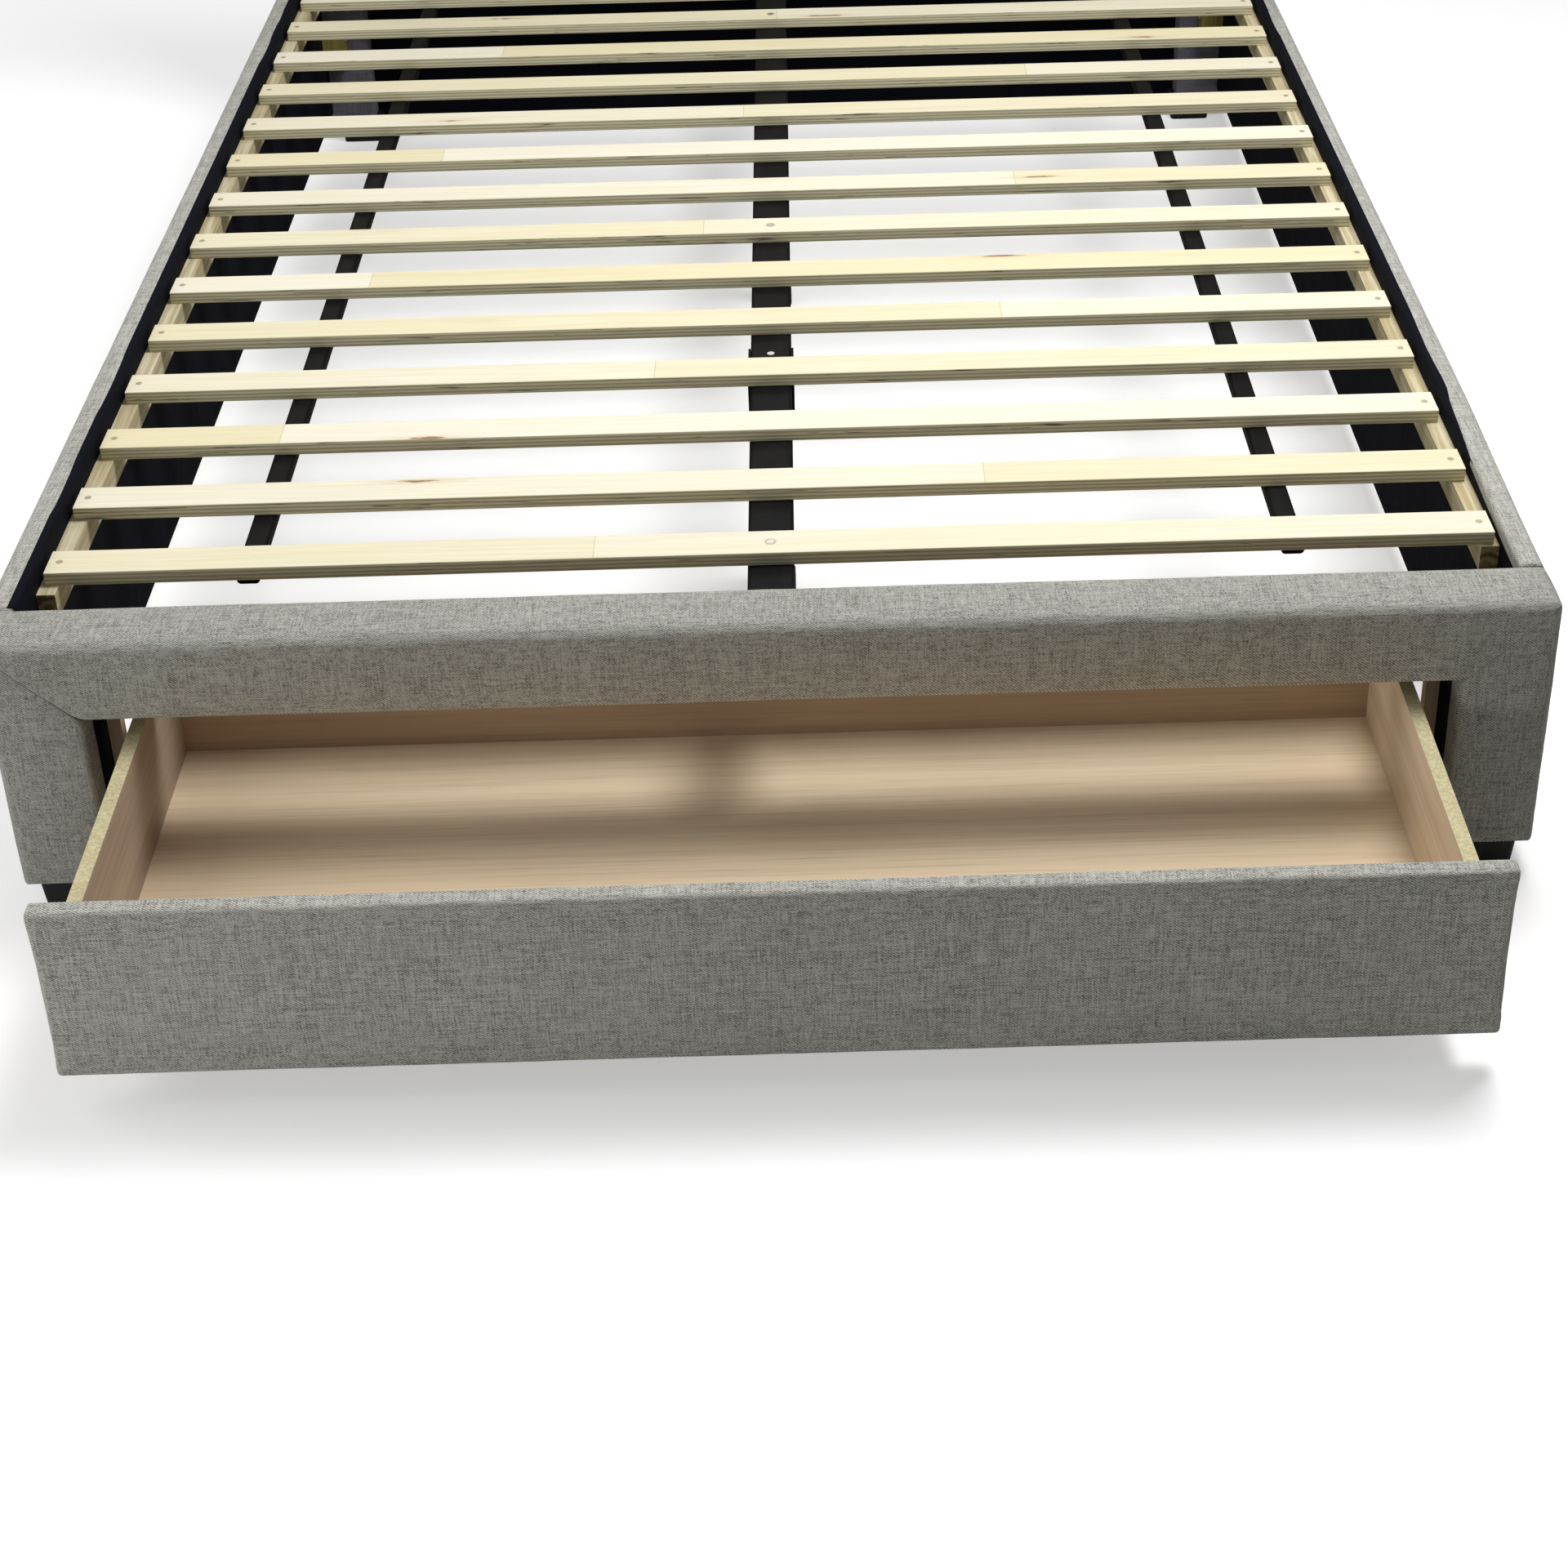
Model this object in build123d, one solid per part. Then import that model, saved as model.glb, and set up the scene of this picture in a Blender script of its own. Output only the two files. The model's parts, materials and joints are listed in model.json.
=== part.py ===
"""Upholstered platform bed, queen size, with one wide storage drawer in the footboard.

Millimetres.  +X is the right side seen from the foot, +Y points to the head, +Z is up.
Inside this file every piece is placed with Y = 0 at the front face of the footboard and
Z = 0 on the floor.  When a piece is written, the whole bed is moved along Y so that the
origin is the middle of its floor rectangle, with the drawer pulled out as it rests.
"""
import os

from build123d import *

# ---------------------------------------------------------------- driving dimensions
mattress_length = 2032.0
mattress_play = 29.0          # footboard to headboard, over the mattress length
bed_width = 1620.0
bed_height = 345.0            # top of footboard and side rails
foot_height = 40.0

footboard_depth = 75.0
footboard_leg_width = 98.0
footboard_rail_height = 95.0
footboard_pad = 8.0           # foam and fabric over the footboard's boards
lining = 1.0                  # black nonwoven
footboard_round = 14.0        # along the outer and upper front edges
back_cloth_inset = 4.0        # the cloth stops short of the footboard's edges
stile_thickness = 15.0
stile_reveal = 15.0           # how far a stile stands into the drawer opening
stile_lift = 5.0              # above the bottom of the footboard legs
stile_above_opening = 22.0

rail_board = 20.0
rail_pad = 5.5
rail_hem = 3.0                # cover under the rail board
rail_bottom = 54.0
rail_round = 5.0

slat_count = 15
slat_width = 46.0
slat_thickness = 16.0
slat_pitch = 136.3
slat_setback = 87.0           # footboard to the first slat
slat_drop = 12.0              # slat top below the rail top
slat_end_gap = 6.0
slat_edge = 1.2

batten_width = 20.0
batten_height = 30.0
batten_overhang = {-1: 18.0, 1: 3.0}   # past the first slat, left and right
batten_end_gap = 6.0
nail_inset = 12.0
nail_radius = 1.3
nail_head_radius = 3.0
nail_head = 1.2
nail_depth = 24.0             # into the batten

centre_rail_width = 50.0
centre_rail_height = 36.0
tube_wall = 1.6
tube_round = 4.8
sleeve_width = 56.0
sleeve_length = 93.0
sleeve_slat = 4               # the sleeve lies under this slat
sleeve_past_slat = 56.0       # and stands out behind it
sleeve_screw_inset = 20.0
sleeve_below_slat = 1.0       # the sleeve's side walls stop short of the slats
leg_size = 38.0
leg_cap_size = 44.0
leg_cap_height = 14.0
leg_round = 4.0
leg_cap_round = 6.0
leg_cap_bevel = 1.5
rear_leg_place = 1450.0
screw_radius = 2.2
screw_head_radius = 4.5
screw_head = 2.4
screw_depth = 12.0
screwed_slats = (1, 7, 13)

tie_bar_width = 25.0
tie_bar_height = 18.0
tie_bar_place = 566.0         # bar centre from the bed's middle
tie_bar_setback = 22.0        # its ends lie under the first and the last slat

foot_width = 70.0
foot_depth = 52.0
foot_inset_side = 14.0
foot_inset_front = 10.0
head_foot_inset = 38.0
head_foot_forward = 3.0       # ahead of the headboard's front
foot_taper = 3.0              # on each side, from top to bottom
foot_round = 6.0

headboard_height = 1100.0
headboard_thickness = 50.0
headboard_back = 4.0
headboard_pad = 25.0
headboard_edge_pad = 6.0
headboard_panel = 12.0
headboard_cover_bottom = 262.0
headboard_round = 16.0
back_panel_inset = 5.0
back_panel_bottom = 28.0
post_width = 98.0
crossrail_height = 90.0

block_width = 38.0
block_depth = 30.0
block_height = 66.0
block_bottom = 150.0
bolt_radius = 3.0
bolt_head_radius = 6.5
bolt_head = 3.5
bolt_engagement = 14.0
bolt_pitch = 34.0

drawer_open = 300.0           # how far the drawer stands out at rest
drawer_gap_side = 10.0
drawer_gap_top = 6.0
drawer_front_bottom = 43.0
drawer_front_thickness = 20.0
drawer_front_pad = 3.0
drawer_front_round = 5.0
drawer_side_board = 15.0
drawer_side_inset = 30.0      # front's end to the outside of the box
drawer_side_drop = 16.0       # box top below the front's top
drawer_side_bottom = 60.0
drawer_inside_depth = 440.0
drawer_floor = 88.0           # underside of the floor board
drawer_floor_board = 9.0
groove = 5.0

wheel_radius = 25.0
wheel_width = 14.0
wheel_round = 2.5
wheel_dish_radius = 17.5
wheel_dish_depth = 2.5
wheel_hub_radius = 8.0
axle_radius = 3.0
axle_clearance = 0.05
axle_stub = 1.5               # riveted head outside the fork
fork_plate = 2.0
fork_gap = 1.0
fork_length = 34.0
fork_low_end = 9.0            # fork reaches this far below the axle
fork_round = 8.0
fork_flange_side = 8.0
fork_flange_end = 6.0
fork_flange_round = 4.0
wheel_inset_side = 60.0
wheel_inset_front = 62.0
wheel_inset_back = 55.0

# ---------------------------------------------------------------- places worked out from them
half = bed_width / 2
headboard_front = footboard_depth + mattress_length + mattress_play
headboard_rear = headboard_front + headboard_thickness + headboard_back
y_mid = (headboard_rear - drawer_open) / 2

opening_half = half - footboard_leg_width
opening_top = bed_height - footboard_rail_height

rail_inner = half - rail_pad - rail_board - lining
slat_top = bed_height - slat_drop
slat_bottom = slat_top - slat_thickness
slat_first = footboard_depth + slat_setback
slat_last_back = slat_first + (slat_count - 1) * slat_pitch + slat_width
slat_half = rail_inner - slat_end_gap

drawer_half = opening_half - drawer_gap_side
drawer_front_top = opening_top - drawer_gap_top
box_half = drawer_half - drawer_side_inset
box_inner = box_half - drawer_side_board
box_front = -drawer_open + drawer_front_thickness
box_back = box_front + drawer_inside_depth
box_end = box_back + drawer_side_board
box_top = drawer_front_top - drawer_side_drop

nodes = {}


def block(x0, x1, y0, y1, z0, z1):
    """A solid box between two corners."""
    return Pos((x0 + x1) / 2, (y0 + y1) / 2, (z0 + z1) / 2) * Box(x1 - x0, y1 - y0, z1 - z0)


def sided(side, xa, xb, y0, y1, z0, z1):
    """A box between two distances from the bed's middle, on the left (-1) or right (+1)."""
    return block(min(side * xa, side * xb), max(side * xa, side * xb), y0, y1, z0, z1)


def rod(radius, start, end):
    """A solid round bar between two points that lie on a line along X, Y or Z."""
    a, b = Vector(*start), Vector(*end)
    plane = Plane(origin=a, z_dir=(b - a).normalized())
    return extrude(plane * Circle(radius), (b - a).length)


def soften(shape, radius, axis, side=None):
    """Round the edges that run along an axis, or only those picked by side."""
    edges = shape.edges().filter_by(axis)
    if side is not None:
        edges = edges.filter_by(side)
    return fillet(edges, radius)


def group(solids):
    """Separate solids kept together in one node."""
    return Compound(list(solids))


def tube(width, height, y0, y1, top, x=0.0):
    """A square steel tube along Y, hanging below the height top."""
    outer = block(x - width / 2, x + width / 2, y0, y1, top - height, top)
    outer = soften(outer, tube_round, Axis.Y)
    inner = block(x - width / 2 + tube_wall, x + width / 2 - tube_wall, y0 - 1, y1 + 1,
                  top - height + tube_wall, top - tube_wall)
    return outer - soften(inner, tube_round - tube_wall, Axis.Y)


# ---------------------------------------------------------------- footboard
def footboard():
    top_y = footboard_depth - lining
    body = block(-half, half, 0, top_y, foot_height, bed_height)
    body -= block(-opening_half, opening_half, -1, top_y + 1, foot_height - 1, opening_top)
    body = fillet(body.edges().filter_by(
        lambda e: abs(e.center().Y) < 0.01 and (e.center().Z > opening_top + 1
                                                or abs(e.center().X) > half - 1)), footboard_round)
    core = block(-half + footboard_pad, half - footboard_pad, footboard_pad, top_y,
                 foot_height + footboard_pad, bed_height - footboard_pad)
    inside = opening_half + footboard_pad / 2
    core -= block(-inside, inside, -1, top_y + 1, 0, opening_top + footboard_pad / 2)
    cover = body - core
    mitre = make_face(Polyline((-half - 1, bed_height + 1), (half + 1, bed_height + 1),
                               (opening_half, opening_top), (-opening_half, opening_top), close=True))
    wedge = extrude(Plane.XZ * mitre, -footboard_depth)
    top = cover & wedge
    legs = (cover - wedge).solids().sort_by(Axis.X)
    nodes["footboard_top_cover"] = top
    nodes["footboard_left_leg_cover"] = legs[0]
    nodes["footboard_right_leg_cover"] = legs[-1]
    nodes["footboard_core"] = core
    inset = back_cloth_inset
    back = block(-half + inset, half - inset, top_y, footboard_depth,
                 foot_height + inset, bed_height - inset)
    nodes["footboard_back_lining"] = back - block(-opening_half, opening_half, 0,
                                                  footboard_depth + 1, 0, opening_top)
    inner_edge = opening_half - stile_reveal
    rear = footboard_depth + stile_thickness
    nodes["footboard_stiles"] = group(
        sided(s, inner_edge, rail_inner, footboard_depth, rear, foot_height + stile_lift,
              opening_top + stile_above_opening)
        for s in (-1, 1))


def foot(x, y):
    """A tapered black foot with rounded corners, its top at foot_height."""
    top = RectangleRounded(foot_width, foot_depth, foot_round)
    bottom = RectangleRounded(foot_width - 2 * foot_taper, foot_depth - 2 * foot_taper, foot_round)
    return Pos(x, y, 0) * loft([Plane.XY * bottom, Plane.XY.offset(foot_height) * top])


def feet():
    x = half - foot_inset_side - foot_width / 2
    y = foot_inset_front + foot_depth / 2
    nodes["front_feet"] = group(foot(s * x, y) for s in (-1, 1))
    x = half - head_foot_inset - foot_width / 2
    y = headboard_front + foot_depth / 2 - head_foot_forward
    nodes["head_feet"] = group(foot(s * x, y) for s in (-1, 1))


# ---------------------------------------------------------------- side rails
def side_rail(side, name):
    outer, inner = half, half - rail_pad - rail_board
    y0, y1 = footboard_depth, headboard_front

    core = sided(side, inner, outer - rail_pad, y0, y1,
                 rail_bottom + rail_hem, bed_height - rail_pad)
    body = sided(side, inner - lining, outer, y0, y1, rail_bottom, bed_height)
    body = soften(body, rail_round, Axis.Y, lambda e: e.center().Z > bed_height - 1)
    inside = sided(side, inner - 2 * lining, outer - rail_pad, y0 - 1, y1 + 1,
                   rail_bottom + rail_hem, bed_height - rail_pad)
    nodes[name + "_rail_cover"] = body - inside
    nodes[name + "_rail_core"] = core
    nodes[name + "_rail_lining"] = sided(side, inner - lining, inner, y0, y1,
                                         rail_bottom + rail_hem, bed_height - rail_pad)
    return sided(side, rail_inner - batten_width, rail_inner, slat_first - batten_overhang[side],
                 headboard_front - batten_end_gap, slat_bottom - batten_height, slat_bottom)


# ---------------------------------------------------------------- slats, nails and screws
def slat_middle(number):
    return slat_first + (number - 1) * slat_pitch + slat_width / 2


def nail(x, y):
    shank = rod(nail_radius, (x, y, slat_bottom - nail_depth), (x, y, slat_top - nail_head))
    head = rod(nail_head_radius, (x, y, slat_top - nail_head), (x, y, slat_top))
    return shank + head


def deck_screw(x, y, top, depth):
    """A screw with a flat-bottomed round head, its head top at the height top."""
    shank = rod(screw_radius, (x, y, top - screw_head - depth), (x, y, top - screw_head))
    head = rod(screw_head_radius, (x, y, top - screw_head), (x, y, top))
    return shank + head


def slat_deck(battens):
    nails = [nail(s * (slat_half - nail_inset), slat_middle(n))
             for n in range(1, slat_count + 1) for s in (-1, 1)]
    screws = [deck_screw(0, slat_middle(n), slat_top, slat_thickness + screw_depth)
              for n in screwed_slats]
    for number in range(1, slat_count + 1):
        y = slat_middle(number)
        slat = block(-slat_half, slat_half, y - slat_width / 2, y + slat_width / 2,
                     slat_bottom, slat_top)
        slat = soften(slat, slat_edge, Axis.X)
        pins = nails[2 * number - 2:2 * number]
        if number in screwed_slats:
            pins = pins + [screws[screwed_slats.index(number)]]
        for pin in pins:
            slat -= pin
        nodes[f"slat_{number:02d}"] = slat
    for name, batten in battens.items():
        for pin in nails:
            batten -= pin
        nodes[name + "_batten"] = batten
    nodes["slat_nails"] = group(nails)
    return screws


# ---------------------------------------------------------------- centre rail, legs and tie bars
def centre_support():
    """The two centre tubes, their joint sleeve and the legs; the tubes are cut for screws later."""
    y1 = slat_middle(sleeve_slat) + slat_width / 2 + sleeve_past_slat
    y0 = y1 - sleeve_length
    joint = (y0 + y1) / 2
    front = tube(centre_rail_width, centre_rail_height, footboard_depth, joint, slat_bottom)
    rear = tube(centre_rail_width, centre_rail_height, joint, headboard_front, slat_bottom)
    wall = (sleeve_width - centre_rail_width) / 2
    saddle = block(-sleeve_width / 2, sleeve_width / 2, y0, y1,
                   slat_bottom - centre_rail_height - wall, slat_bottom - sleeve_below_slat)
    saddle -= block(-centre_rail_width / 2, centre_rail_width / 2, y0 - 1, y1 + 1,
                    slat_bottom - centre_rail_height, slat_bottom + 1)
    screws = [deck_screw(0, y1 - sleeve_screw_inset, slat_bottom + screw_head, screw_depth)]
    under = slat_bottom - centre_rail_height
    leg_tops = {"front": (y0 + sleeve_length / 2, under - wall), "rear": (rear_leg_place, under)}
    caps = []
    for name, (y, top) in leg_tops.items():
        leg = block(-leg_size / 2, leg_size / 2, y - leg_size / 2, y + leg_size / 2,
                    leg_cap_height, top)
        leg = soften(leg, leg_round, Axis.Z)
        hollow = block(-leg_size / 2 + tube_wall, leg_size / 2 - tube_wall,
                       y - leg_size / 2 + tube_wall, y + leg_size / 2 - tube_wall,
                       leg_cap_height - 1, top - 3 * tube_wall)
        nodes["centre_leg_" + name] = leg - soften(hollow, leg_round - tube_wall, Axis.Z)
        cap = block(-leg_cap_size / 2, leg_cap_size / 2, y - leg_cap_size / 2,
                    y + leg_cap_size / 2, 0, leg_cap_height)
        cap = soften(cap, leg_cap_round, Axis.Z)
        caps.append(chamfer(cap.faces().sort_by(Axis.Z)[0].edges(), leg_cap_bevel))
    nodes["centre_leg_caps"] = group(caps)
    nodes["centre_rail_sleeve"] = saddle
    return front, rear, screws


def tie_bars():
    for name, s in (("left", -1), ("right", 1)):
        nodes[name + "_tie_bar"] = tube(tie_bar_width, tie_bar_height,
                                        slat_first + tie_bar_setback,
                                        slat_last_back - tie_bar_setback,
                                        slat_bottom, s * tie_bar_place)


# ---------------------------------------------------------------- headboard
def headboard():
    y0, y1 = headboard_front, headboard_front + headboard_thickness
    top = headboard_height
    edge = headboard_edge_pad
    panel0 = y0 + headboard_pad
    panel1 = panel0 + headboard_panel
    low = headboard_cover_bottom
    body = block(-half, half, y0, y1, low, top)
    body = fillet(body.edges().filter_by(lambda e: abs(e.center().Y - y0) < 0.01
                                         and e.center().Z > low + 1), headboard_round)
    inside = block(-half + edge, half - edge, panel0, y1 + 1, low - 1, top - edge)
    nodes["headboard_cover"] = body - inside
    nodes["headboard_panel"] = block(-half + edge, half - edge, panel0, panel1, low, top - edge)
    for name, s in (("left", -1), ("right", 1)):
        foot_part = sided(s, half, half - post_width, y0, y1, foot_height, low)
        upper = sided(s, half - edge, half - post_width, panel1, y1, low, top - edge)
        nodes[f"headboard_{name}_post"] = foot_part + upper
    inner = half - post_width
    rails = [block(-inner, inner, panel1, y1, z, z + crossrail_height)
             for z in (low, (low + top - edge - crossrail_height) / 2, top - edge - crossrail_height)]
    nodes["headboard_crossrails"] = group(rails)
    inset = back_panel_inset
    nodes["headboard_back_panel"] = block(-half + inset, half - inset, y1, y1 + headboard_back,
                                          back_panel_bottom, top - inset)


# ---------------------------------------------------------------- corner blocks and bolts
def corners():
    blocks, bolts = [], []
    fronts = (footboard_depth + stile_thickness, headboard_front - block_depth)
    for s in (-1, 1):
        for y0 in fronts:
            wood = sided(s, rail_inner, rail_inner - block_width, y0, y0 + block_depth,
                         block_bottom, block_bottom + block_height)
            xb = s * (rail_inner - block_width)
            y = y0 + block_depth / 2
            for z in (block_bottom + (block_height - bolt_pitch) / 2,
                      block_bottom + (block_height + bolt_pitch) / 2):
                tip = s * (rail_inner + lining + bolt_engagement)
                shank = rod(bolt_radius, (xb, y, z), (tip, y, z))
                head = rod(bolt_head_radius, (xb - s * bolt_head, y, z), (xb, y, z))
                bolt = shank + head
                bolts.append(bolt)
                wood -= bolt
                for piece in ("core", "lining"):
                    name = ("left" if s < 0 else "right") + "_rail_" + piece
                    nodes[name] -= bolt
            blocks.append(wood)
    nodes["corner_blocks"] = group(blocks)
    nodes["corner_bolts"] = group(bolts)


# ---------------------------------------------------------------- drawer
def drawer():
    front, back = -drawer_open, -drawer_open + drawer_front_thickness
    pad = drawer_front_pad
    body = block(-drawer_half, drawer_half, front, back, drawer_front_bottom, drawer_front_top)
    body = fillet(body.edges().filter_by(lambda e: abs(e.center().Y - front) < 0.01),
                  drawer_front_round)
    core = block(-drawer_half + pad, drawer_half - pad, front + pad, back,
                 drawer_front_bottom + pad, drawer_front_top - pad)
    nodes["drawer_front_cover"] = body - core
    nodes["drawer_front_core"] = core
    bottom = block(-box_inner - groove, box_inner + groove, box_front, box_back + groove,
                   drawer_floor, drawer_floor + drawer_floor_board)
    for name, s in (("left", -1), ("right", 1)):
        side = sided(s, box_inner, box_half, box_front, box_end, drawer_side_bottom, box_top)
        nodes[f"drawer_{name}_side"] = side - bottom
    rear = block(-box_inner, box_inner, box_back, box_end, drawer_side_bottom, box_top)
    nodes["drawer_back"] = rear - bottom
    nodes["drawer_bottom"] = bottom


def caster(x, y):
    """A fixed caster under the drawer floor: a folded fork with its axle riveted in."""
    inner = wheel_width / 2 + fork_gap
    outer = inner + fork_plate
    plate_x, plate_y = outer + fork_flange_side, fork_length / 2 + fork_flange_end
    plate = block(x - plate_x, x + plate_x, y - plate_y, y + plate_y,
                  drawer_floor - fork_plate, drawer_floor)
    plate = soften(plate, fork_flange_round, Axis.Z)
    cheeks = []
    for s in (-1, 1):
        cheek = Pos(x, 0, 0) * sided(s, inner, outer, y - fork_length / 2, y + fork_length / 2,
                                     wheel_radius - fork_low_end, drawer_floor - fork_plate)
        low = cheek.edges().filter_by(Axis.X).sort_by(Axis.Z)[0:2]
        cheeks.append(fillet(low, fork_round))
    reach = outer + axle_stub
    axle = rod(axle_radius, (x - reach, y, wheel_radius), (x + reach, y, wheel_radius))
    return plate + cheeks[0] + cheeks[1] + axle


def wheel(x, y):
    """A solid wheel with a rounded tread and a running bore on the caster's axle."""
    disc = rod(wheel_radius, (x - wheel_width / 2, y, wheel_radius),
               (x + wheel_width / 2, y, wheel_radius))
    disc = fillet(disc.edges().filter_by(GeomType.CIRCLE), wheel_round)
    hub = rod(axle_radius + axle_clearance, (x - wheel_width, y, wheel_radius),
              (x + wheel_width, y, wheel_radius))
    for s in (-1, 1):
        dish = rod(wheel_dish_radius, (x + s * (wheel_width / 2 - wheel_dish_depth), y, wheel_radius),
                   (x + s * wheel_width, y, wheel_radius))
        boss = rod(wheel_hub_radius, (x, y, wheel_radius),
                   (x + s * wheel_width / 2, y, wheel_radius))
        disc = disc - dish + boss
    return disc - hub


def casters():
    x = box_half - wheel_inset_side
    places = {"front": box_front + wheel_inset_front, "rear": box_end - wheel_inset_back}
    forks = []
    for where, y in places.items():
        for side, s in (("left", -1), ("right", 1)):
            forks.append(caster(s * x, y))
            nodes[f"{where}_{side}_wheel"] = wheel(s * x, y)
    nodes["drawer_casters"] = group(forks)


# ---------------------------------------------------------------- the whole bed
footboard()
feet()
battens = {name: side_rail(s, name) for name, s in (("left", -1), ("right", 1))}
rail_front, rail_rear, joint_screws = centre_support()
slat_screws = slat_deck(battens)
for screw in slat_screws + joint_screws:
    rail_front -= screw
    rail_rear -= screw
nodes["centre_rail_front"] = rail_front
nodes["centre_rail_rear"] = rail_rear
nodes["centre_screws"] = group(slat_screws + joint_screws)
tie_bars()
headboard()
corners()
drawer()
casters()

os.makedirs("parts", exist_ok=True)
for name, shape in nodes.items():
    export_step(Pos(0, -y_mid, 0) * shape, f"parts/{name}.step")
print(len(nodes), "nodes; origin lies", y_mid, "mm behind the footboard's front face")
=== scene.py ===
"""The looks of an upholstered platform bed with one wide drawer in its footboard.

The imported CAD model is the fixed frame.  Padded covers and dust cloths are made here as
meshes of their own, in metres, in the places of the CAD solids that they stand for.
"""
import json
import math

import bmesh
import bpy
from mathutils import Matrix, Vector, noise

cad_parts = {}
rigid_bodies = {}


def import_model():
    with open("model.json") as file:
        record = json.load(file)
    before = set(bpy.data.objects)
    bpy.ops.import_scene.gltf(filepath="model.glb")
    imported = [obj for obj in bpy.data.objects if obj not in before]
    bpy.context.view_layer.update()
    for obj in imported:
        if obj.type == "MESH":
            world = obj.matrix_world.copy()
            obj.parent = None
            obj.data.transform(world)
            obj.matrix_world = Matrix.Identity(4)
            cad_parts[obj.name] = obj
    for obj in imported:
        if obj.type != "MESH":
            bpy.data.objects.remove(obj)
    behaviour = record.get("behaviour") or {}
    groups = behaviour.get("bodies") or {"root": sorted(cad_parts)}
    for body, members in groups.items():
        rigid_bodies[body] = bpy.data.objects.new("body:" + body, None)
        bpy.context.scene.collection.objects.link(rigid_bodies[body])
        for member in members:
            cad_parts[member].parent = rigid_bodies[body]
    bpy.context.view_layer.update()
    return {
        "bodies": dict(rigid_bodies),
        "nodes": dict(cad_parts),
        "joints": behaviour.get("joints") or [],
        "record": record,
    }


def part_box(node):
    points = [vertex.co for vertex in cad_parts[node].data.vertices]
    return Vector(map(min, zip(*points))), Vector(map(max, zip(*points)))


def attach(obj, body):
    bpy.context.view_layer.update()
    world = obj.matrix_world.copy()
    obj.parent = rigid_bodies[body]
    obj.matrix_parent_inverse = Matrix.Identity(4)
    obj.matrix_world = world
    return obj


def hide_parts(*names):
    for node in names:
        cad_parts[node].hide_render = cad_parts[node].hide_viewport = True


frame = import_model()
NODES = frame["nodes"]
MM = 0.001


# ------------------------------------------------------------------ places read from the frame
def low(node):
    return Vector(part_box(node)[0])


def high(node):
    return Vector(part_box(node)[1])


FOOT_FACE = low("footboard_top_cover").y
FOOT_BACK = high("footboard_top_cover").y
HALF = high("footboard_right_leg_cover").x
RAIL_TOP = high("footboard_top_cover").z
OPENING_TOP = low("footboard_top_cover").z
OPENING_HALF = low("footboard_right_leg_cover").x
LEG_BOTTOM = low("footboard_right_leg_cover").z
LEG_WIDTH = HALF - OPENING_HALF
RAIL_HEIGHT = RAIL_TOP - OPENING_TOP


# ------------------------------------------------------------------ mesh helpers
def add_object(name, mesh, material, smooth=True):
    obj = bpy.data.objects.new(name, mesh)
    bpy.context.collection.objects.link(obj)
    mesh.materials.append(material)
    for face in mesh.polygons:
        face.use_smooth = smooth
    return obj


def stops(a, b, fine, coarse, margin):
    """Places from a to b: close together within margin of the ends, wider apart between."""
    length = b - a
    margin = min(margin, length / 2)
    count = max(2, round(margin / fine))
    head = [a + margin * i / count for i in range(count)]
    middle = max(1, round((length - 2 * margin) / coarse)) if length > 2 * margin + 1e-6 else 0
    body = [a + margin + (length - 2 * margin) * i / middle for i in range(middle)] if middle else []
    tail = [b - margin + margin * i / count for i in range(count + 1)]
    return head + body + tail


def box_surface(xs, ys, zs):
    """The outer skin of a box, as points and quads on a grid of the given places."""
    index, points, quads = {}, [], []

    def vertex(i, j, k):
        if (i, j, k) not in index:
            index[i, j, k] = len(points)
            points.append(Vector((xs[i], ys[j], zs[k])))
        return index[i, j, k]

    nx, ny, nz = len(xs) - 1, len(ys) - 1, len(zs) - 1
    for i in range(nx):
        for j in range(ny):
            for k, flip in ((0, True), (nz, False)):
                quad = [vertex(i, j, k), vertex(i + 1, j, k), vertex(i + 1, j + 1, k), vertex(i, j + 1, k)]
                quads.append(quad[::-1] if flip else quad)
    for i in range(nx):
        for k in range(nz):
            for j, flip in ((0, False), (ny, True)):
                quad = [vertex(i, j, k), vertex(i + 1, j, k), vertex(i + 1, j, k + 1), vertex(i, j, k + 1)]
                quads.append(quad[::-1] if flip else quad)
    for j in range(ny):
        for k in range(nz):
            for i, flip in ((0, True), (nx, False)):
                quad = [vertex(i, j, k), vertex(i, j + 1, k), vertex(i, j + 1, k + 1), vertex(i, j, k + 1)]
                quads.append(quad[::-1] if flip else quad)
    return points, quads


FAR = 10.0


def round_to(point, radius, x=(-FAR, FAR), y=(-FAR, FAR), z=(-FAR, FAR)):
    """Pulls a point on or outside a rounded box back to its surface; a side left out is far away."""
    spans = (x, y, z)
    core = Vector(min(max(point[i], spans[i][0] + radius), spans[i][1] - radius) for i in range(3))
    off = point - core
    if off.length > radius:
        return core + off * (radius / off.length)
    return point


def hump(t, power=4.0):
    """0 at both ends of 0..1 and 1 in the middle, with a broad top."""
    return max(0.0, 1.0 - abs(2.0 * t - 1.0) ** power)


def ripple(point, size, seed):
    """A soft noise from -1 to 1 whose bumps are about size across."""
    return noise.noise(point / size + Vector((seed * 7.3, seed * 3.1, seed * 1.7)))


def mesh_from(name, points, quads):
    mesh = bpy.data.meshes.new(name)
    mesh.from_pydata([tuple(p) for p in points], [], quads)
    mesh.update()
    mesh.validate()
    return mesh


def displace(mesh, amount):
    """Moves each vertex along its normal by amount(point, normal), in metres."""
    normals = [v.normal.copy() for v in mesh.vertices]
    for vertex, normal in zip(mesh.vertices, normals):
        vertex.co += normal * amount(vertex.co.copy(), normal)
    mesh.update()


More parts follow.
